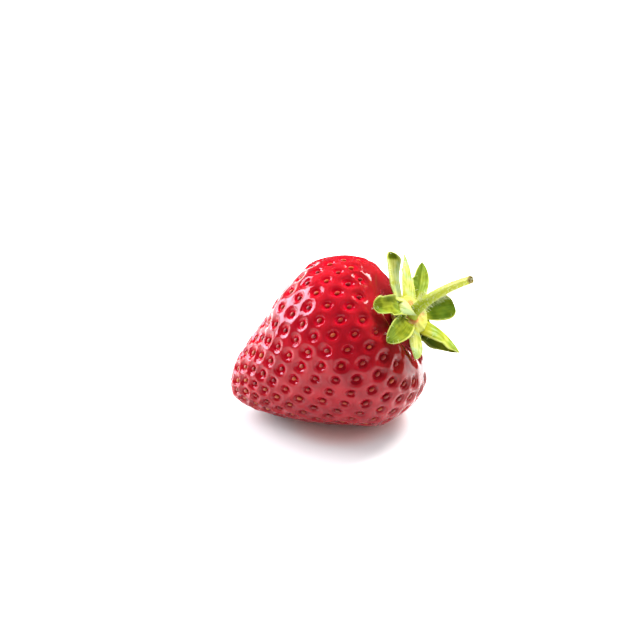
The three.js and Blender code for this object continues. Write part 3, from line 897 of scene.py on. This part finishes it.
# %% The node maker
class Nodes:
    """A node tree, and the one way of adding nodes to it."""

    def __init__(self, tree):
        self.tree = tree

    def node(self, kind, settings=(), sockets=()):
        """Makes a node and returns its outputs by name."""
        node = self.tree.nodes.new(kind)
        for name in settings:
            if name == "stops":
                self.set_stops(node.color_ramp.elements, settings[name])
            else:
                setattr(node, name, settings[name])
        for name in sockets:
            usable = [s for s in node.inputs if s.enabled]
            found = usable[name] if isinstance(name, int) else next(s for s in usable if s.name == name)
            self.feed(found, sockets[name])
        return {s.name: Value(self, s) for s in node.outputs if s.enabled}

    def set_stops(self, elements, stops):
        while len(elements) < len(stops):
            elements.new(1)
        for element, (place, colour) in zip(elements, stops):
            element.position, element.color = place, (*colour, 1)

    def feed(self, socket, value):
        if isinstance(value, Value):
            self.tree.links.new(value.socket, socket)
        elif socket.type == "RGBA":
            socket.default_value = (*value, 1)
        else:
            socket.default_value = value

    def mask(self, name):
        return self.node("ShaderNodeAttribute", {"attribute_name": name})["Fac"]

    def noise(self, scale, detail=2, where=None):
        where = where or self.node("ShaderNodeTexCoord")["Object"]
        sockets = {"Vector": where, "Scale": scale, "Detail": detail}
        return self.node("ShaderNodeTexNoise", sockets=sockets)["Fac"]

    def between(self, value, low, high):
        """0 below low, 1 above high and smooth between."""
        sockets = {"Value": value, "From Min": low, "From Max": high}
        settings = {"interpolation_type": "SMOOTHSTEP"}
        return self.node("ShaderNodeMapRange", settings, sockets)["Result"]

    def mix(self, factor, first, second):
        sockets = {"Factor": factor, "A": first, "B": second}
        return self.node("ShaderNodeMix", {"data_type": "RGBA"}, sockets)["Result"]

# %% A material
class Finish(Nodes):
    """A material with a Principled shader, and the nodes that feed it."""

    def __init__(self, name, **constants):
        self.material = bpy.data.materials.new(name)
        self.material.use_nodes = True
        super().__init__(self.material.node_tree)
        self.shader = self.tree.nodes["Principled BSDF"]
        for socket, value in constants.items():
            self.shader.inputs[socket.replace("_", " ")].default_value = value

    def bump(self, height, strength, distance):
        sockets = {"Height": height, "Strength": strength, "Distance": distance}
        self.feed(self.shader.inputs["Normal"], self.node("ShaderNodeBump", sockets=sockets)["Normal"])

    def use(self, socket, value):
        self.feed(self.shader.inputs[socket], value)

    def put_on(self, *pieces):
        for piece in pieces:
            piece.data.materials.append(self.material)
        print(self.material.name, len(self.tree.nodes), "nodes on", [piece.name for piece in pieces])


# %% [markdown]
# ## Ripe flesh
#
# Ripe skin is a deep clear red, mottled by slow noise, under a wet gloss. Light goes a little way into
# the flesh before it comes back, which softens the shading, so the shader has some subsurface. Near the
# leaves the flesh is painted a darker brown red as their shade, most on its lower side. The pits are
# painted darker as the shade inside them. On the upper left side of the berry, where the light falls
# into them, they are painted a brighter red as painted light.

# %% The red of the flesh
SCATTERING = 0.5
SCATTER_REACH = (1.0, 0.1, 0.08)
SCATTER_SCALE = 2 * MM
flesh = Finish(
    "ripe flesh",
    Subsurface_Weight=SCATTERING,
    Subsurface_Radius=SCATTER_REACH,
    Subsurface_Scale=SCATTER_SCALE,
    Roughness=0.07,
    IOR=1.3,
)
DEEP_RED, FRESH_RED = (0.21, 0.003, 0.008), (0.28, 0.006, 0.012)
LEAF_SHADE_RED = (0.12, 0.007, 0.004)
PIT_SHADE_RED, PIT_LIT_RED = (0.15, 0.0006, 0.005), (0.42, 0.002, 0.012)
red = flesh.mix(flesh.between(flesh.noise(220, 3), 0.35, 0.65), DEEP_RED, FRESH_RED)
place = flesh.node("ShaderNodeTexCoord")["Object"]
position = flesh.node("ShaderNodeSeparateXYZ", sockets={"Vector": place})
height = position["Z"]
# Painted shade of the leaves: near them the red is mixed towards a dark brown red, most on the lower
# side.
leaf_shade_depth = 0.8 - 0.5 * flesh.between(height, 18 * MM, 32 * MM)
red = flesh.mix(flesh.mask("by_leaves") * leaf_shade_depth, red, LEAF_SHADE_RED)
on_flank = flesh.between(flesh.mask("from_tip"), 0.1, 0.45)
from_pit = flesh.mask("from_pit")
pit = 1 - flesh.between(from_pit, 0.7, 1.0)
# Painted shade in the pits: their red is darkened, more on the flank than at the tip.
red = flesh.mix(pit * (0.1 + 0.15 * on_flank), red, PIT_SHADE_RED)
# Painted light in the pits on the upper left side of the berry, where the light falls into them: their
# red is made brighter.
pit_lit_side = flesh.between(height - 0.8 * position["X"], 18 * MM, 34 * MM)
red = flesh.mix(0.8 * pit * pit_lit_side, red, PIT_LIT_RED)
flesh.use("Base Color", red)
print("red from", len(flesh.tree.nodes), "nodes")

# %% [markdown]
# The gloss is smooth and rather weak, as on wet skin. A bump raises a fine lip round each pit,
# which catches the light in small crescents, and a fine grain breaks the highlights up. Inside
# a pit the flesh is matt: a second shader with the same red and no gloss is mixed in there.

# %% Gloss, lips and matt pits
lip = flesh.between(from_pit, 0.8, 1.0) * (1 - flesh.between(from_pit, 1.0, 1.4))
grain = 0.25 * flesh.noise(900, 2)
flesh.bump(lip + grain, 1, 0.07 * MM)
matt_sockets = {
    "Base Color": red,
    "Specular IOR Level": 0.0,
    "Roughness": 0.8,
    "Subsurface Weight": SCATTERING,
    "Subsurface Radius": SCATTER_REACH,
    "Subsurface Scale": SCATTER_SCALE,
}
matt = flesh.node("ShaderNodeBsdfPrincipled", sockets=matt_sockets)["BSDF"]
wet = Value(flesh, flesh.shader.outputs["BSDF"])
in_pit = 0.95 * (1 - flesh.between(from_pit, 0.5, 0.72))
both = flesh.node("ShaderNodeMixShader", sockets={0: in_pit, 1: wet, 2: matt})["Shader"]
flesh.feed(flesh.tree.nodes["Material Output"].inputs["Surface"], both)
flesh.put_on(skin)

# %% The seeds' finish
seed_finish = Finish("seeds", Roughness=0.35, Specular_IOR_Level=0.3)
SEED_TONES = [
    (0, (0.15, 0.006, 0.006)),
    (0.5, (0.25, 0.028, 0.008)),
    (0.85, (0.34, 0.085, 0.012)),
    (1, (0.40, 0.15, 0.018)),
]
seed_tone = {"Fac": seed_finish.mask("tone")}
seed_colour = seed_finish.node("ShaderNodeValToRGB", {"stops": SEED_TONES}, seed_tone)["Color"]
seed_finish.use("Base Color", seed_colour)
seed_finish.put_on(seed_piece)

# %% [markdown]
# ## Leaves
#
# Each leaf has its own paleness, kept on its points, and veins streak it from foot to tip. The
# streaks come from a noise that is stretched along the blade's own two measures. A multiply
# cools the green in patches, and the edges and the foot fade to yellow. The disc is a warm
# tan in the middle and green towards its rim.

# %% Leaf green
leaf_finish = Finish(
    "calyx leaf",
    Roughness=0.6,
    Specular_IOR_Level=0.0,
    Subsurface_Weight=0.25,
    Subsurface_Radius=(0.5, 0.5, 0.1),
    Subsurface_Scale=0.6 * MM,
)
along, across = leaf_finish.mask("along"), leaf_finish.mask("across")
stretched = {"X": along * 1.4, "Y": across * 4}
blade_place = leaf_finish.node("ShaderNodeCombineXYZ", sockets=stretched)["Vector"]
streaks = leaf_finish.noise(1.5, 4, blade_place)
blotches = leaf_finish.noise(500, 3)
pale = leaf_finish.mask("pale")
paleness = pale + (0.4 + 0.7 * pale) * (streaks + 0.8 * blotches - 0.9)
LEAF_GREENS = [
    (0, (0.030, 0.050, 0.002)),
    (0.35, (0.088, 0.108, 0.006)),
    (0.65, (0.19, 0.215, 0.018)),
    (1, (0.37, 0.375, 0.11)),
]
green = leaf_finish.node("ShaderNodeValToRGB", {"stops": LEAF_GREENS}, {"Fac": paleness})["Color"]
mint = leaf_finish.between(leaf_finish.noise(300), 0.4, 0.6)
cooler = {"Factor": mint * 0.8, "A": green, "B": (0.72, 0.94, 1.6)}
multiply = {"data_type": "RGBA", "blend_type": "MULTIPLY"}
green = leaf_finish.node("ShaderNodeMix", multiply, cooler)["Result"]
edge = leaf_finish.between(across * across, 0.7, 0.96)
green = leaf_finish.mix(edge * 0.65, green, (0.38, 0.41, 0.10))
foot = 1 - leaf_finish.between(along, 0.0, 0.35)
green = leaf_finish.mix(foot * 0.8, green, (0.32, 0.30, 0.015))
leaf_finish.use("Base Color", green)
leaf_finish.bump(streaks + 0.3 * leaf_finish.noise(2500, 2), 0.45, 0.15 * MM)
leaf_finish.put_on(*leaf_pieces)

# %% The disc's finish
disc_finish = Finish("calyx disc", Roughness=0.6, Specular_IOR_Level=0.2)
patch = disc_finish.noise(600, 3)
heart = disc_finish.mix(disc_finish.between(patch, 0.4, 0.6), (0.54, 0.19, 0.05), (0.50, 0.32, 0.08))
ring = disc_finish.between(disc_finish.mask("reach") + 0.8 * (patch - 0.5), 0.45, 0.85)
disc_finish.use("Base Color", disc_finish.mix(ring, heart, (0.34, 0.36, 0.06)))
disc_finish.bump(patch, 0.5, 0.2 * MM)
disc_finish.put_on(disc)

# %% The stalk's finish
stalk_finish = Finish("stalk", Roughness=0.5, Specular_IOR_Level=0.3)
length = stalk_finish.mask("along")
inward = stalk_finish.mask("inward")
green = stalk_finish.mix(stalk_finish.noise(400, 3), (0.20, 0.26, 0.006), (0.36, 0.42, 0.018))
green = stalk_finish.mix(stalk_finish.between(length, 0.25, 0.8) * 0.6, green, (0.42, 0.43, 0.04))
cut_skin = stalk_finish.between(length, 0.965, 0.995)
green = stalk_finish.mix(cut_skin * 0.8, green, (0.12, 0.07, 0.02))
pith = stalk_finish.between(inward, 0.3, 0.5)
green = stalk_finish.mix(pith, green, (0.38, 0.30, 0.13))
stalk_finish.use("Base Color", green)
stalk_finish.bump(stalk_finish.noise(1500, 2), 0.3, 0.1 * MM)
stalk_finish.put_on(stalk)

# %% The hairs' finish
hair_finish = Finish("hair", Roughness=0.5, Base_Color=(0.60, 0.62, 0.42, 1))
hair_finish.put_on(stalk_hairs, leaf_hairs)

# %% [markdown]
# ## Table, lights and camera
#
# The berry lies on a wide white surface, and close to the foot a red glow of light from the berry is
# painted on it. Its gloss shows what stands around it, so two lights are placed by what they should
# draw on the skin: a tall cool window on the left, and a small warm one low behind on the right. They
# only show in the gloss. Two large soft lights, from behind and from the left, do the shading and are
# hidden from the gloss. A dark red card keeps the white table out of the gloss on the shoulder, as a
# photographer's flag would.

# %% Table
TABLE_REACH = 3
TABLE_DROP = 0.05 * MM
bm = bmesh.new()
bmesh.ops.create_grid(bm, x_segments=1, y_segments=1, size=TABLE_REACH)
bmesh.ops.translate(bm, verts=bm.verts[:], vec=(0, 0, -TABLE_DROP))
table = to_object(bm, "table")
white = Finish("table white", Roughness=0.6)
from_foot = white.node("ShaderNodeTexCoord")["Object"]
from_foot = white.node("ShaderNodeVectorMath", {"operation": "LENGTH"}, {0: from_foot})["Value"]
# Painted light: near the foot the table is tinted red, as if lit by red light coming through the berry.
red_bounce_on_table = 1 - white.between(from_foot, 9 * MM, 16 * MM)
white.use("Base Color", white.mix(red_bounce_on_table, (0.8, 0.8, 0.8), (0.8, 0.53, 0.49)))
white.put_on(table)


# %% Lights
def from_room(azimuth, elevation):
    """A direction; azimuth 0 is the camera's side and 90 the berry's stalk side."""
    return heading(azimuth - 90, elevation)


def soft_light(name, towards, distance, width, height, power, colour, in_gloss):
    """An area light that either shows in the gloss or does the shading."""
    lamp = bpy.data.lights.new(name, "AREA")
    lamp.shape = "RECTANGLE"
    lamp.size, lamp.size_y, lamp.energy, lamp.color = width, height, power, colour
    light = add_object(name, lamp)
    light.location = towards * distance
    light.rotation_mode = "QUATERNION"
    light.rotation_quaternion = towards.to_track_quat("Z", "Y")
    light.visible_glossy, light.visible_diffuse = in_gloss, not in_gloss


LIGHTS = [  # name, direction, distance, width and height in metres, watts, colour, in gloss
    ("cool window", from_room(-118, 26), 0.7, 0.34, 0.6, 13, (0.9, 0.8, 1.0), True),
    ("warm window", from_room(140, 18), 0.7, 0.2, 0.14, 1.2, (1.0, 0.94, 0.9), True),
    ("back light", from_room(148, 55), 1.0, 0.7, 0.7, 31, (1.0, 0.98, 0.96), False),
    ("left light", from_room(-118, 32), 1.0, 0.6, 0.6, 9, (1.0, 0.96, 1.0), False),
]
for light in LIGHTS:
    soft_light(*light)
print(len(LIGHTS), "lights")

# %% The dark card
CARD_DISTANCE = 42 * MM
CARD_WIDTH = 76 * MM
CARD_HEIGHT = 36 * MM
bm = bmesh.new()
bmesh.ops.create_grid(bm, x_segments=1, y_segments=1, size=0.5)
card_middle = from_room(150, 0) * CARD_DISTANCE
card_side = card_middle.cross(Vector((0, 0, 1))).normalized()
for vert in bm.verts:
    rise = Vector((0, 0, (vert.co.y + 0.5) * CARD_HEIGHT))
    vert.co = card_middle + card_side * vert.co.x * CARD_WIDTH + rise
card = to_object(bm, "card")
card.visible_camera = card.visible_diffuse = card.visible_shadow = False
Finish("card red", Base_Color=(0.25, 0.006, 0.008, 1), Roughness=0.8).put_on(card)

# %% [markdown]
# The room glows brightest at the back and the sides, and it shades the berry more strongly than
# it shows in the gloss. Light Path tells the two kinds of ray apart. The camera looks down at
# about a third of a right angle with a long lens.

# %% The room
GLOW_IN_FRONT = 0.4
GLOW_BEHIND = 2.0
GLOW_AT_SIDES = 2.8
GLOW_UPPER_LEFT = 0.6
ROOM_IN_GLOSS = 0.09
BACKDROP_IN_GLOSS = 0.6
ROOM_COLOUR = (0.95, 0.97, 1.0, 1)
world = bpy.data.worlds.new("studio")
bpy.context.scene.world = world
world.use_nodes = True
room = Nodes(world.node_tree)
background = world.node_tree.nodes["Background"]
background.inputs["Color"].default_value = ROOM_COLOUR
facing = room.node("ShaderNodeTexCoord")["Generated"]
facing = room.node("ShaderNodeSeparateXYZ", sockets={"Vector": facing})
shading = GLOW_IN_FRONT + (GLOW_BEHIND - GLOW_IN_FRONT) * room.between(facing["Y"], -0.6, 0.5)
shading = shading + GLOW_AT_SIDES * (facing["X"] * facing["X"]) ** 2
upper_left = (1 - room.between(facing["X"], -0.9, -0.2)) * room.between(facing["Z"], 0.1, 0.5)
shading = shading + GLOW_UPPER_LEFT * upper_left
backdrop = room.between(facing["Y"], 0.1, 0.7) * (1 - room.between(facing["Z"], 0.1, 0.3))
backdrop = backdrop * (1 - room.between(facing["X"], -0.4, 0.0))
gloss = ROOM_IN_GLOSS + (BACKDROP_IN_GLOSS - ROOM_IN_GLOSS) * backdrop
is_gloss = room.node("ShaderNodeLightPath")["Is Glossy Ray"]
room.feed(background.inputs["Strength"], shading + is_gloss * (gloss - shading))
print("room of", len(room.tree.nodes), "nodes")

# %% Camera
CAMERA_DISTANCE = 420 * MM
CAMERA_LENS = 109.4
CAMERA_AZIMUTH = -2.7
CAMERA_ELEVATION = 33
AIM_RIGHT = -5.6 * MM
AIM_UP = 4.49 * MM
towards_camera = from_room(CAMERA_AZIMUTH, CAMERA_ELEVATION)
camera_right = heading(CAMERA_AZIMUTH, 0)
camera_up = towards_camera.cross(camera_right)
widest_middle = Vector(from_berry(WIDEST_AT, 0, 0))
lens = bpy.data.cameras.new("camera")
lens.lens = CAMERA_LENS
camera = add_object("camera", lens)
camera.location = widest_middle + towards_camera * CAMERA_DISTANCE
aim = widest_middle + camera_right * AIM_RIGHT + camera_up * AIM_UP
camera.rotation_euler = (aim - camera.location).to_track_quat("-Z", "Y").to_euler()
bpy.context.scene.camera = camera
bpy.context.scene.view_settings.view_transform = "Standard"
print("camera at", [round(v / MM) for v in camera.location], "mm")
